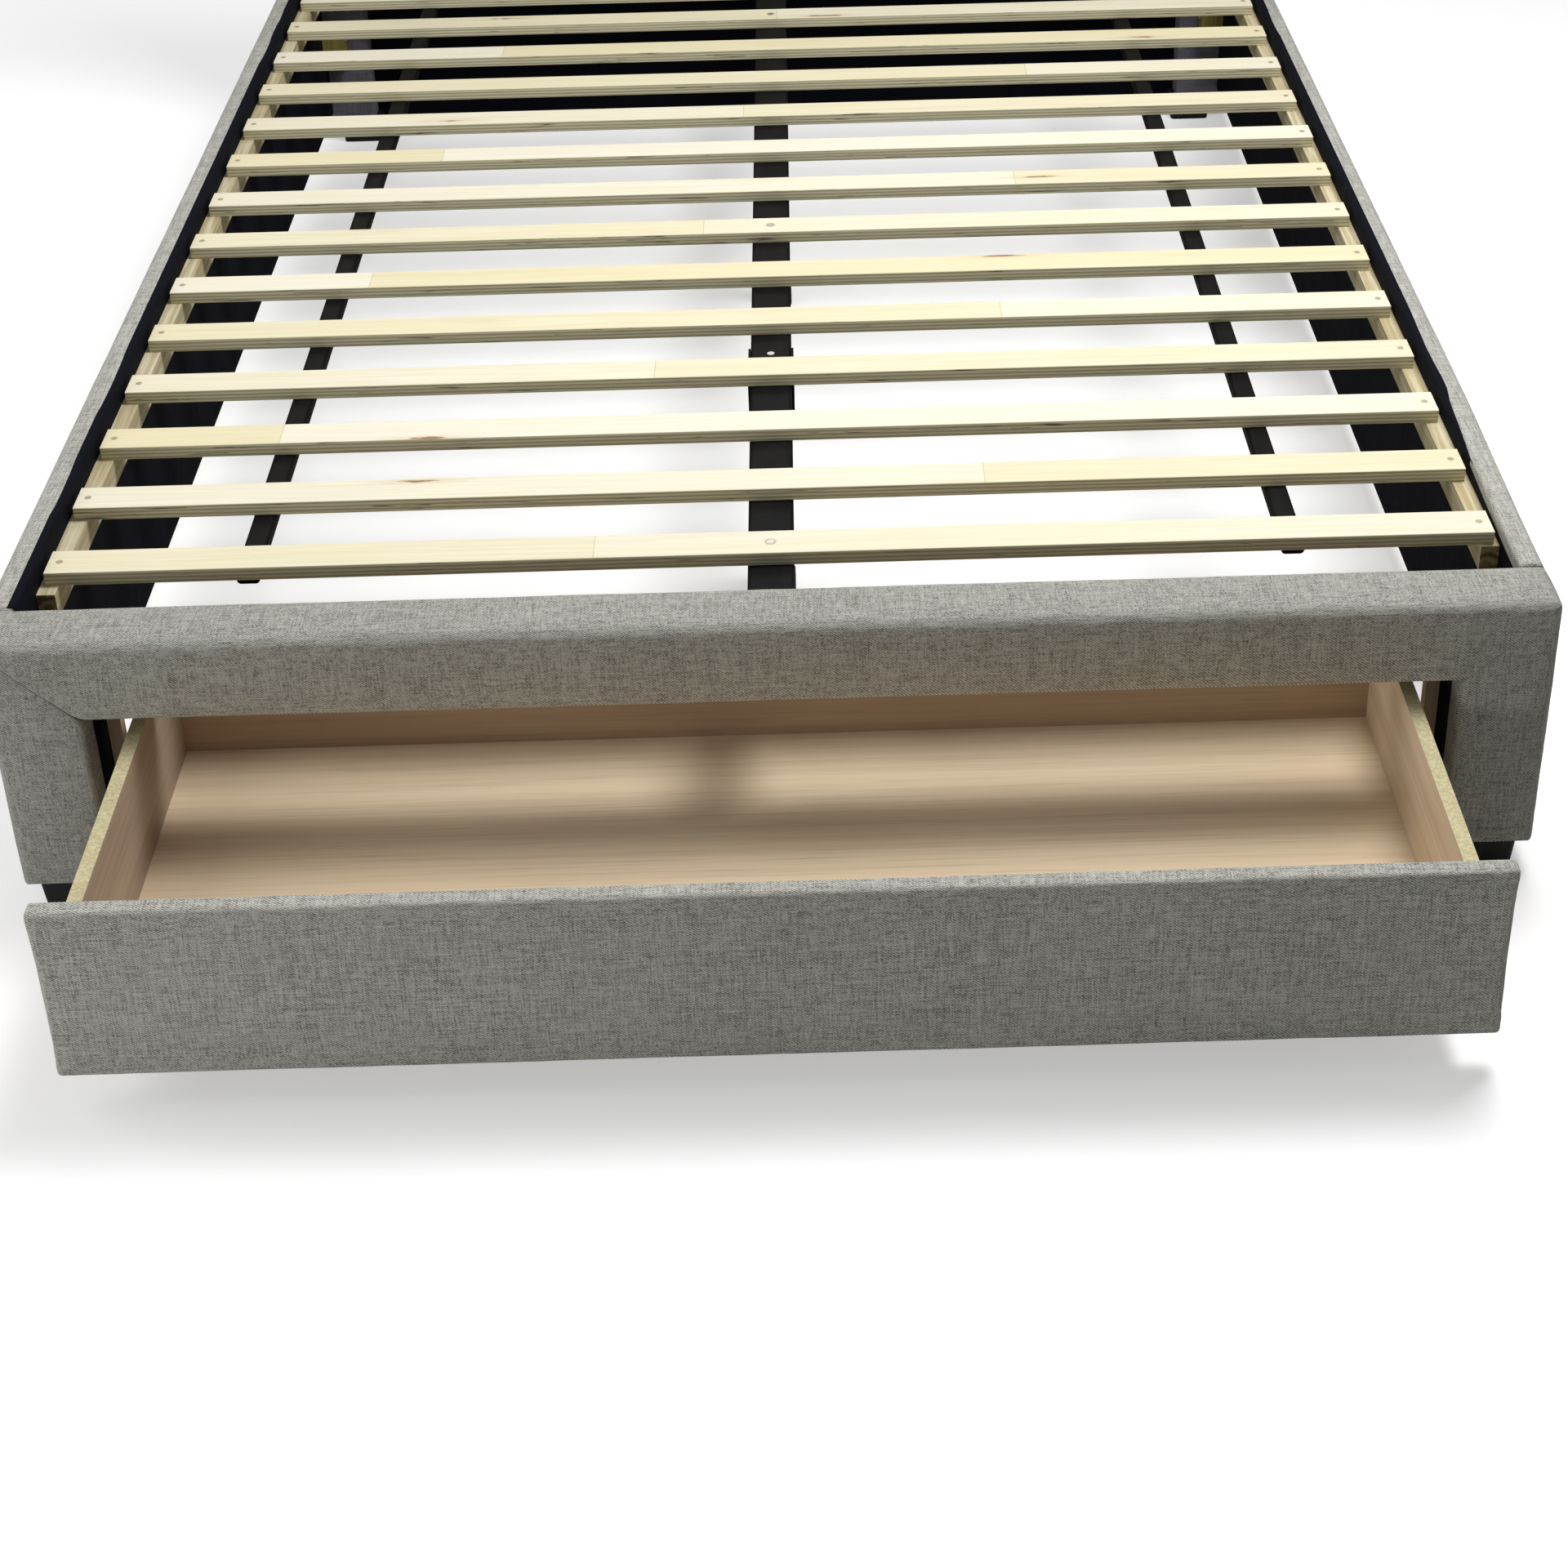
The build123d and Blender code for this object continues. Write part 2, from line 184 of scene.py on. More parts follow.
def sweep(name, ring, places, material, bend):
    """A closed profile ring of (x, z) points carried along y and bent, with flat ends."""
    points = [bend(Vector((x, place, z))) for place in places for x, z in ring]
    quads = []
    n = len(ring)
    for s in range(len(places) - 1):
        for i in range(n):
            j = (i + 1) % n
            quads.append([s * n + i, s * n + j, (s + 1) * n + j, (s + 1) * n + i])
    quads.append(list(range(n))[::-1])
    quads.append([(len(places) - 1) * n + i for i in range(n)])
    mesh = mesh_from(name, points, quads)
    tidy = bmesh.new()
    tidy.from_mesh(mesh)
    bmesh.ops.recalc_face_normals(tidy, faces=tidy.faces)
    tidy.to_mesh(mesh)
    tidy.free()
    return add_object(name, mesh, material)


def arc(cx, cy, radius, start, end, steps=6):
    """Points on an arc, with angles in degrees."""
    angles = [math.radians(start + (end - start) * i / steps) for i in range(steps + 1)]
    return [(cx + radius * math.cos(a), cy + radius * math.sin(a)) for a in angles]


def line(a, b, steps):
    """Points between two ends, without the ends."""
    return [(a[0] + (b[0] - a[0]) * i / steps, a[1] + (b[1] - a[1]) * i / steps) for i in range(1, steps)]


# ------------------------------------------------------------------ material helpers
class Nodes:
    """A short way to write a material's node tree."""

    def __init__(self, name):
        self.material = bpy.data.materials.new(name)
        self.material.use_nodes = True
        self.tree = self.material.node_tree
        self.shader = self.tree.nodes["Principled BSDF"]
        self.coords = self.tree.nodes.new("ShaderNodeTexCoord")
        self.place = self.coords.outputs["Object"]
        self.facing = self.coords.outputs["Normal"]

    def node(self, kind, inputs=None, **settings):
        made = self.tree.nodes.new(kind)
        for key, value in settings.items():
            setattr(made, key, value)
        for key, value in (inputs or {}).items():
            self.feed(made.inputs[key], value)
        return made

    def feed(self, socket, value):
        if isinstance(value, bpy.types.NodeSocket):
            self.tree.links.new(value, socket)
        else:
            socket.default_value = value

    def math(self, operation, a, b=0.0, c=None):
        made = self.node("ShaderNodeMath", operation=operation)
        self.feed(made.inputs[0], a)
        self.feed(made.inputs[1], b)
        if c is not None:
            self.feed(made.inputs[2], c)
        return made.outputs[0]

    def stretch(self, scale, offset=(0, 0, 0)):
        made = self.node("ShaderNodeMapping", {"Vector": self.place, "Scale": scale, "Location": offset})
        return made.outputs[0]

    def noise(self, scale, detail=2.0, rough=0.5, offset=(0, 0, 0), distortion=0.0):
        made = self.node("ShaderNodeTexNoise", {
            "Vector": self.stretch(scale, offset), "Scale": 1.0, "Detail": detail,
            "Roughness": rough, "Distortion": distortion})
        return made.outputs["Fac"]

    def band(self, value, a, b):
        """0 below a, 1 above b, smooth between."""
        made = self.node("ShaderNodeMapRange", {"Value": value, "From Min": a, "From Max": b},
                         interpolation_type="SMOOTHSTEP", clamp=True)
        return made.outputs[0]

    def mix(self, factor, a, b):
        made = self.node("ShaderNodeMix", data_type="RGBA")
        self.feed(made.inputs[0], factor)
        self.feed(made.inputs[6], a)
        self.feed(made.inputs[7], b)
        return made.outputs[2]

    def normal_part(self, axis):
        """How much the surface faces along an axis, from -1 to 1."""
        made = self.node("ShaderNodeSeparateXYZ", {0: self.facing})
        return made.outputs["XYZ".index(axis)]

    def place_part(self, axis):
        made = self.node("ShaderNodeSeparateXYZ", {0: self.place})
        return made.outputs["XYZ".index(axis)]

    def bump(self, height, strength, distance, under=None):
        inputs = {"Height": height, "Strength": strength, "Distance": distance}
        if under is not None:
            inputs["Normal"] = under
        return self.node("ShaderNodeBump", inputs).outputs[0]

    def finish(self, color, rough, normal, **plain):
        self.feed(self.shader.inputs["Base Color"], color)
        self.feed(self.shader.inputs["Roughness"], rough)
        if normal is not None:
            self.feed(self.shader.inputs["Normal"], normal)
        for key, value in plain.items():
            self.shader.inputs[key.replace("_", " ")].default_value = value
        return self.material


def rgb(r, g, b):
    return (r, g, b, 1.0)


# ------------------------------------------------------------------ materials
THREAD, THREAD_RUN = 0.8 * MM, 14 * MM
SLUB, SLUB_RUN = 1.5 * MM, 26 * MM
BAR, BAR_RUN = 4 * MM, 120 * MM
TWILL = 2.3 * MM


def streaks(m, across, along, offset):
    """Threads along each axis, left out on the faces that the axis runs into."""
    total = 0.0
    for number, axis in enumerate("XYZ"):
        scale = [1 / across] * 3
        scale[number] = 1 / along
        lying = m.math("SUBTRACT", 1.0, m.math("ABSOLUTE", m.normal_part(axis)))
        thread = m.math("SUBTRACT", m.noise(scale, 2.0, 0.6, offset), 0.5)
        total = m.math("MULTIPLY_ADD", thread, lying, total)
    return total


def linen(name, dark, light, seed=0):
    """Heathered linen-look twill: fine diagonal lines over slubby threads that run both ways."""
    m = Nodes(name)
    offset = (seed, seed * 0.7, seed * 0.3)
    woven = streaks(m, THREAD, THREAD_RUN, offset)
    slubs = streaks(m, SLUB, SLUB_RUN, offset)
    bars = streaks(m, BAR, BAR_RUN, offset)
    patch = m.noise((7, 7, 9), 3.0, 0.6, offset)
    twill = m.node("ShaderNodeTexWave", {
        "Vector": m.stretch((0.8, 1.1, 1.1)), "Scale": math.tau / 20 / TWILL * math.sqrt(2),
        "Distortion": 1.2, "Detail": 2.0, "Detail Scale": 1.5, "Detail Roughness": 0.6},
        bands_direction="DIAGONAL").outputs["Fac"]
    broken = m.band(m.noise((0.5 / THREAD,) * 3, 2.0, 0.6, offset), 0.25, 0.60)
    lines = m.math("MULTIPLY", twill, broken)
    tone = m.math("MULTIPLY_ADD", lines, 0.46, m.math("MULTIPLY", woven, 0.55))
    tone = m.math("MULTIPLY_ADD", slubs, 0.54, tone)
    tone = m.math("MULTIPLY_ADD", bars, 0.20, tone)
    tone = m.math("MULTIPLY_ADD", patch, 0.08, tone)
    tone = m.band(tone, -0.10, 0.46)
    color = m.mix(tone, dark, light)
    knots = m.band(m.noise((420, 420, 420), 1.0), 0.69, 0.78)
    color = m.mix(m.math("MULTIPLY", knots, 0.45), color, rgb(0.74, 0.74, 0.69))
    height = m.math("MULTIPLY_ADD", lines, 0.8, woven)
    normal = m.bump(height, 0.6, 0.3 * MM)
    normal = m.bump(slubs, 0.35, 0.6 * MM, normal)
    normal = m.bump(patch, 0.25, 1.5 * MM, normal)
    rough = m.math("MULTIPLY_ADD", tone, -0.08, 0.95)
    return m.finish(color, rough, normal, Sheen_Weight=0.10, Sheen_Roughness=0.5,
                    Specular_IOR_Level=0.12)


def nonwoven():
    """Black spun-bonded dust cloth: embossed dots, matted fibres and faint creases."""
    m = Nodes("black_nonwoven_cloth")
    dots = m.node("ShaderNodeTexVoronoi", {"Vector": m.place, "Scale": 420.0, "Randomness": 0.25})
    fibre = m.noise((300, 90, 500), 4.0, 0.7)
    crease = m.noise((6, 14, 9), 2.0, 0.5, distortion=1.5)
    color = m.mix(fibre, rgb(0.0022, 0.0025, 0.0055), rgb(0.0065, 0.0075, 0.0150))
    height = m.math("MULTIPLY_ADD", fibre, 0.3, m.band(dots.outputs["Distance"], 0.15, 0.45))
    normal = m.bump(height, 0.35, 0.2 * MM)
    normal = m.bump(crease, 0.5, 4 * MM, normal)
    return m.finish(color, m.math("MULTIPLY_ADD", fibre, 0.15, 0.80), normal,
                    Specular_IOR_Level=0.10)


def slat_wood(number):
    """Poplar plywood slat: cream face with long grain, a joint, knots and fixing marks, banded edges."""
    node = f"slat_{number:02d}"
    m = Nodes(node + "_plywood")
    offset = (number * 3.7, number * 1.3, number * 2.1)
    grain = m.noise((6, 210, 210), 3.0, 0.6, offset, 0.4)
    streak = m.noise((2.2, 60, 60), 3.0, 0.6, offset, 0.6)
    cloud = m.noise((2.5, 14, 14), 2.0, 0.5, offset)
    face = m.mix(m.band(grain, 0.3, 0.72), rgb(0.80, 0.735, 0.535), rgb(0.89, 0.845, 0.665))
    face = m.mix(m.math("MULTIPLY", m.band(streak, 0.55, 0.70), 0.30), face, rgb(0.70, 0.60, 0.36))
    face = m.mix(m.math("MULTIPLY", m.band(cloud, 0.42, 0.70), 0.40), face, rgb(0.84, 0.76, 0.50))
    joint = -0.62 + (number * 0.43) % 1.24
    side = m.math("GREATER_THAN", m.place_part("X"), joint)
    yellow, pale = rgb(0.82, 0.72, 0.42), rgb(0.93, 0.89, 0.77)
    veneer = m.mix(side, yellow, pale) if number % 2 else m.mix(side, pale, yellow)
    face = m.mix((0.50, 0.18, 0.30)[number % 3], face, veneer)
    away = m.math("ABSOLUTE", m.math("SUBTRACT", m.place_part("X"), joint))
    seam_line = m.band(away, 0.9 * MM, 0.3 * MM)
    face = m.mix(m.math("MULTIPLY", seam_line, 0.45), face, rgb(0.50, 0.40, 0.22))
    knot_field = m.node("ShaderNodeTexVoronoi", {
        "Vector": m.stretch((2.6, 21, 21), offset), "Scale": 1.0, "Randomness": 1.0})
    wander = m.math("MULTIPLY_ADD", m.noise((60, 160, 160), 2.0), 0.10, knot_field.outputs["Distance"])
    knot = m.band(wander, 0.135, 0.095)
    ring = m.band(wander, 0.26, 0.12)
    face = m.mix(m.math("MULTIPLY", ring, 0.30), face, rgb(0.66, 0.47, 0.24))
    face = m.mix(m.math("MULTIPLY", knot, 0.85), face, rgb(0.24, 0.12, 0.05))
    face = fixing_marks(m, node, face)
    ply = m.node("ShaderNodeTexWave", {
        "Vector": m.stretch((0.10, 0.0, 1.0), offset), "Scale": math.pi / 10 / (4.6 * MM),
        "Distortion": 1.6, "Detail": 2.0, "Detail Scale": 1.0}, bands_direction="Z").outputs["Fac"]
    edge = m.mix(ply, rgb(0.42, 0.37, 0.20), rgb(0.90, 0.85, 0.60))
    edge = m.mix(m.math("MULTIPLY", grain, 0.5), edge, rgb(0.90, 0.85, 0.62))
    crack = m.band(m.noise((11, 40, 380), 3.0, 0.65, offset), 0.62, 0.68)
    edge = m.mix(m.math("MULTIPLY", crack, 0.85), edge, rgb(0.085, 0.055, 0.03))
    upward = m.band(m.normal_part("Z"), 0.5, 0.8)
    color = m.mix(upward, edge, face)
    dust = m.noise((60, 60, 60), 3.0, 0.7, offset)
    normal = m.bump(grain, 0.25, 0.4 * MM)
    normal = m.bump(m.math("ADD", crack, m.math("MULTIPLY", knot, 0.6)), -0.4, 0.6 * MM, normal)
    rough = m.math("MULTIPLY_ADD", dust, 0.25, 0.55)
    return m.finish(color, rough, normal, Specular_IOR_Level=0.25)


NAIL_INSET = 12 * MM
SCREWED = (1, 7, 13)


def fixing_marks(m, node, face):
    """Bruised rings round the nail at each end, and a countersink stain round a middle screw."""
    lo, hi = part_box(node)
    middle = (lo[1] + hi[1]) / 2
    marks = [(hi[0] - NAIL_INSET, 3.2 * MM, 6.0 * MM), (lo[0] + NAIL_INSET, 3.2 * MM, 6.0 * MM)]
    if int(node[-2:]) in SCREWED:
        marks.append((0.0, 5.0 * MM, 9.0 * MM))
    for x, dark, halo in marks:
        away = m.node("ShaderNodeVectorMath", {0: m.place, 1: (x, middle, hi[2])},
                      operation="DISTANCE").outputs["Value"]
        face = m.mix(m.math("MULTIPLY", m.band(away, halo, dark), 0.30), face, rgb(0.50, 0.36, 0.18))
        face = m.mix(m.math("MULTIPLY", m.band(away, dark * 1.25, dark), 0.60), face,
                     rgb(0.26, 0.15, 0.07))
    return face


def softwood(name, along, pale, deep, end_grain):
    """Planed softwood with its grain along one axis and darker end grain."""
    m = Nodes(name)
    fast, slow = 150, 5
    scale = tuple(slow if a == along else fast for a in "XYZ")
    grain = m.noise(scale, 3.0, 0.6, distortion=0.5)
    board = m.noise(tuple(1.2 if a == along else 30 for a in "XYZ"), 2.0)
    color = m.mix(m.band(grain, 0.35, 0.7), deep, pale)
    color = m.mix(m.math("MULTIPLY", m.band(board, 0.5, 0.7), 0.3), color, deep)
    rings = m.node("ShaderNodeTexWave", {"Vector": m.place, "Scale": 60.0, "Distortion": 6.0,
                                         "Detail": 2.0}, wave_type="RINGS").outputs["Fac"]
    ends = m.band(m.math("ABSOLUTE", m.normal_part(along)), 0.6, 0.9)
    color = m.mix(ends, color, m.mix(rings, end_grain, deep))
    normal = m.bump(grain, 0.3, 0.4 * MM)
    return m.finish(color, m.math("MULTIPLY_ADD", grain, 0.2, 0.55), normal, Specular_IOR_Level=0.3)


def oak_print(name, along, light, deep, raw=True):
    """Oak-print melamine with its fine grain along one axis; raw sawn board on the top edges."""
    m = Nodes(name)
    pores = m.noise(tuple(5 if a == along else 480 for a in "XYZ"), 3.0, 0.65)
    line = m.noise(tuple(1.5 if a == along else 110 for a in "XYZ"), 3.0, 0.6, distortion=0.8)
    wide = m.noise(tuple(0.7 if a == along else 16 for a in "XYZ"), 3.0, 0.5, distortion=0.8)
    color = m.mix(m.band(wide, 0.32, 0.68), deep, light)
    dark = tuple(c * 0.62 for c in deep[:3]) + (1.0,)
    color = m.mix(m.math("MULTIPLY", m.band(line, 0.46, 0.62), 0.15), color, dark)
    color = m.mix(m.math("MULTIPLY", m.band(pores, 0.52, 0.68), 0.36), color, dark)
    if raw:
        chips = m.noise((260, 260, 260), 4.0, 0.8)
        strand = m.noise((90, 25, 90), 3.0, 0.6)
        sawn = m.mix(m.band(chips, 0.35, 0.7), rgb(0.50, 0.44, 0.24), rgb(0.72, 0.66, 0.42))
        sawn = m.mix(m.math("MULTIPLY", m.band(strand, 0.5, 0.75), 0.3), sawn, rgb(0.44, 0.38, 0.20))
        top = m.band(m.normal_part("Z"), 0.7, 0.9)
        color = m.mix(top, color, sawn)
    normal = m.bump(pores, 0.15, 0.15 * MM)
    rough = m.math("MULTIPLY_ADD", pores, 0.18, 0.45)
    return m.finish(color, rough, normal, Specular_IOR_Level=0.3)


def powder_coat():
    """Satin black powder coat over steel tube, with orange peel, dust and rubbed spots."""
    m = Nodes("black_powder_coat")
    peel = m.noise((900, 900, 900), 2.0, 0.5)
    dust = m.noise((35, 9, 35), 4.0, 0.7)
    rub = m.band(m.noise((120, 30, 120), 3.0, 0.7), 0.68, 0.76)
    color = m.mix(m.band(dust, 0.4, 0.75), rgb(0.0030, 0.0027, 0.0027), rgb(0.0085, 0.0078, 0.0075))
    color = m.mix(m.math("MULTIPLY", rub, 0.20), color, rgb(0.06, 0.06, 0.06))
    normal = m.bump(peel, 0.2, 0.15 * MM)
    return m.finish(color, m.math("MULTIPLY_ADD", dust, 0.2, 0.55), normal, Specular_IOR_Level=0.12)


def zinc(name, base, rough_low):
    """Zinc-plated steel with spangle and dull patches."""
    m = Nodes(name)
    spangle = m.node("ShaderNodeTexVoronoi", {"Vector": m.place, "Scale": 900.0}).outputs["Color"]
    haze = m.noise((160, 160, 160), 3.0, 0.7)
    tone = m.node("ShaderNodeSeparateXYZ", {0: spangle}).outputs[0]
    color = m.mix(m.math("MULTIPLY", tone, 0.3), base, rgb(0.85, 0.85, 0.82))
    color = m.mix(m.math("MULTIPLY", m.band(haze, 0.5, 0.75), 0.5), color, rgb(0.32, 0.30, 0.27))
    normal = m.bump(haze, 0.2, 0.1 * MM)
    return m.finish(color, m.math("MULTIPLY_ADD", haze, 0.35, rough_low), normal, Metallic=0.9)


def moulded(name, base, worn):
    """Black moulded plastic with a fine spark texture and scuffs near the floor."""
    m = Nodes(name)
    spark = m.noise((1500, 1500, 1500), 2.0, 0.6)
    scuff = m.noise((90, 90, 25), 3.0, 0.7)
    low_down = m.band(m.place_part("Z"), 0.02, 0.0)
    wear = m.math("MULTIPLY", m.band(scuff, 0.5, 0.7), m.math("MULTIPLY_ADD", low_down, 0.6, 0.15))
    color = m.mix(wear, base, worn)
    normal = m.bump(spark, 0.3, 0.1 * MM)
    return m.finish(color, m.math("MULTIPLY_ADD", scuff, 0.2, 0.45), normal, Specular_IOR_Level=0.4)


def stage_floor():
    """Pale studio floor with the faintest mottling, lit a little from below."""
    m = Nodes("studio_floor")
    mottle = m.noise((1.5, 1.5, 1.5), 3.0, 0.5)
    color = m.mix(mottle, rgb(0.80, 0.80, 0.80), rgb(0.84, 0.84, 0.84))
    return m.finish(color, 0.9, None, Specular_IOR_Level=0.0,
                    Emission_Color=rgb(1.0, 1.0, 1.0), Emission_Strength=0.42)


def bounce_board():
    m = Nodes("bounce_board")
    return m.finish(rgb(0.50, 0.50, 0.48), 0.9, None, Specular_IOR_Level=0.0)



LINEN = linen("grey_linen_weave", rgb(0.175, 0.172, 0.150), rgb(0.62, 0.615, 0.56))
# A darker, cooler copy of the grey linen: painted shade on the footboard's covers, top and legs.
LINEN_FOOT_PAINTED_SHADE = linen("grey_linen_weave_footboard_painted_shade", rgb(0.143, 0.144, 0.125), rgb(0.52, 0.52, 0.475), 2)
LINEN_PANEL = linen("grey_linen_weave_headboard", rgb(0.175, 0.172, 0.150), rgb(0.62, 0.615, 0.56), 3)
# The posts' own lavender-grey cloth, darkened further as painted shade.
POST_CLOTH_PAINTED_SHADE = linen("post_cloth_painted_shade", rgb(0.10, 0.095, 0.12), rgb(0.26, 0.25, 0.30), 5)
CLOTH = nonwoven()
STEEL = powder_coat()
ZINC = zinc("zinc_fixings", rgb(0.55, 0.53, 0.48), 0.25)
NAIL = zinc("nail_heads", rgb(0.50, 0.42, 0.28), 0.55)
CASTER = zinc("caster_zinc", rgb(0.60, 0.61, 0.62), 0.30)
PLASTIC = moulded("black_plastic", rgb(0.012, 0.012, 0.014), rgb(0.07, 0.07, 0.07))
NYLON = moulded("wheel_nylon", rgb(0.030, 0.030, 0.033), rgb(0.16, 0.15, 0.14))
BATTEN = softwood("batten_softwood", "Y", rgb(0.78, 0.70, 0.49), rgb(0.50, 0.41, 0.22),
                  rgb(0.16, 0.13, 0.065))
BLOCK = softwood("corner_block_pine", "Z", rgb(0.40, 0.33, 0.09), rgb(0.26, 0.20, 0.05),
                 rgb(0.20, 0.15, 0.05))
BOARD = softwood("frame_board", "X", rgb(0.62, 0.50, 0.34), rgb(0.46, 0.35, 0.22), rgb(0.30, 0.22, 0.13))
OAK_BACK = oak_print("oak_print_back", "X", rgb(0.58, 0.45, 0.33), rgb(0.46, 0.34, 0.24))
# Darker and lighter copies of one oak print: painted shade on the drawer's left side, painted light on its
# right side.
OAK_LEFT_PAINTED_SHADE = oak_print("oak_print_left_painted_shade", "Y", rgb(0.46, 0.36, 0.27), rgb(0.35, 0.265, 0.20))
OAK_RIGHT_PAINTED_LIGHT = oak_print("oak_print_right_painted_light", "Y", rgb(0.84, 0.70, 0.53), rgb(0.72, 0.58, 0.42))
OAK_FLOOR = oak_print("oak_print_floor", "X", rgb(0.84, 0.68, 0.475), rgb(0.765, 0.60, 0.41), raw=False)
OAK_STILE = oak_print("oak_print_upright", "Z", rgb(0.66, 0.50, 0.35), rgb(0.53, 0.38, 0.26))


def paint(names, material):
    """Gives CAD nodes a material, leaving their meshes as they are."""
    for name in names:
        node = NODES[name]
        node.data.materials.clear()
        node.data.materials.append(material)


def paint_frame():
    for name in NODES:
        if name.startswith("slat_") and name[5:].isdigit():
            paint([name], slat_wood(int(name[5:])))
    paint(("left_batten", "right_batten"), BATTEN)
    paint(("corner_blocks",), BLOCK)
    paint(("footboard_core", "left_rail_core", "right_rail_core", "headboard_panel",
           "headboard_crossrails", "drawer_front_core"), BOARD)
    paint(("centre_rail_front", "centre_rail_rear", "centre_rail_sleeve", "centre_leg_front",
           "centre_leg_rear", "left_tie_bar", "right_tie_bar"), STEEL)
    paint(("slat_nails",), NAIL)
    paint(("centre_screws", "corner_bolts"), ZINC)
    paint(("drawer_casters",), CASTER)
    paint(("front_feet", "head_feet", "centre_leg_caps"), PLASTIC)
    paint([n for n in NODES if n.endswith("_wheel")], NYLON)
    paint(("headboard_left_post", "headboard_right_post"), POST_CLOTH_PAINTED_SHADE)
    paint(("headboard_back_panel",), CLOTH)
    # The drawer's sides take the painted-shade and painted-light copies of the oak print.
    paint(("drawer_left_side",), OAK_LEFT_PAINTED_SHADE)
    paint(("drawer_right_side",), OAK_RIGHT_PAINTED_LIGHT)
    paint(("drawer_back",), OAK_BACK)
    paint(("drawer_bottom",), OAK_FLOOR)
    paint(("footboard_stiles",), OAK_STILE)


# ------------------------------------------------------------------ padded covers
AIR = 3.0              # pressure inside a cover
SLACK = -0.006         # spare cloth, as a negative shrink
SETTLING = 14          # frames that the simulation runs for
CLOTH_MASS = 0.25
SIM_STEPS = 6


def plump(piece, held, give):
    """Lets a cover fill out by cloth simulation, held where it is fixed, no point moving past give."""
    points = piece.data.vertices
    before = [v.co.copy() for v in points]
    pins = piece.vertex_groups.new(name="held")
    pins.add([v.index for v in points if held(v.co)], 1.0, "REPLACE")
    cloth = piece.modifiers.new("cloth", "CLOTH")
    cloth.settings.quality = SIM_STEPS
    cloth.settings.mass = CLOTH_MASS
    cloth.settings.vertex_group_mass = pins.name
    cloth.settings.use_pressure = True
    cloth.settings.uniform_pressure_force = AIR
    cloth.settings.shrink_min = SLACK
    cloth.settings.effector_weights.gravity = 0.0
    cloth.collision_settings.use_collision = False
    cloth.point_cache.frame_start, cloth.point_cache.frame_end = 1, SETTLING
    for frame in range(1, SETTLING + 1):
        bpy.context.scene.frame_set(frame)
    filled = piece.evaluated_get(bpy.context.evaluated_depsgraph_get()).data
    after = [v.co.copy() for v in filled.vertices]
    piece.modifiers.remove(cloth)
    piece.vertex_groups.clear()
    for v, old, new in zip(points, before, after):
        move = new - old
        if move.length > 0:
            v.co = old + move * (give * math.tanh(move.length / give) / move.length)
    bpy.context.scene.frame_set(1)


def soft_block(name, xs, ys, zs, shape, puff, material):
    """A padded block: a box skin whose points are reshaped, then puffed along their normals."""
    points, quads = box_surface(xs, ys, zs)
    mesh = mesh_from(name, [shape(p) for p in points], quads)
    displace(mesh, puff)
    return add_object(name, mesh, material)


FINE, COARSE, MARGIN = 2.5 * MM, 9 * MM, 26 * MM     # grid of a cover, near its edges and between
HEM = 10 * MM                                        # how far in from an edge the cloth is held
SEAM_WIDTH = 6 * MM
SEAM_DEPTH = {-1: 1.5 * MM, 1: 0.6 * MM}             # left corner, right corner
SEAM_FADE = 0.75                                     # share of its depth lost at the outer corner
FRONT_EDGE, OUTER_EDGE, OPENING_EDGE, BACK_EDGE = 12 * MM, 12 * MM, 10 * MM, 5 * MM
LEG_INNER_EDGE, LEG_FOOT_EDGE = 9 * MM, 6 * MM
FRONT_PUFF, TOP_PUFF, LEG_PUFF, SIDE_PUFF = 2.4 * MM, 1.6 * MM, 2.0 * MM, 1.0 * MM
BACK_GAP = 0.5 * MM                                  # the cover stops short of the dust cloth
DRAWER_EDGE, DRAWER_BACK_EDGE, DRAWER_PUFF = 5 * MM, 2.5 * MM, 1.8 * MM
PANEL_EDGE, PANEL_BACK_EDGE, PANEL_PUFF = 18 * MM, 5 * MM, 6 * MM
FOOTBOARD_GIVE, DRAWER_GIVE, RAIL_GIVE, PANEL_GIVE = 2 * MM, 1.6 * MM, 3 * MM, 9 * MM


def mitre_away(point):
    """Distance in the front plane from the seam that joins the opening's corner to the outer one."""
    slope = RAIL_HEIGHT / LEG_WIDTH
    return abs((point.z - OPENING_TOP) - slope * (abs(point.x) - OPENING_HALF)) / math.hypot(1, slope)


def mitre(point):
    """How far cloth dips beside that seam, less and less towards the outer corner."""
    away = mitre_away(point)
    if away >= SEAM_WIDTH:
        return 0.0
    along = min(1.0, max(0.0, (point.z - OPENING_TOP) / RAIL_HEIGHT))
    depth = SEAM_DEPTH[-1 if point.x < 0 else 1] * (1 - SEAM_FADE * along)
    return -depth * (1 - away / SEAM_WIDTH) ** 2


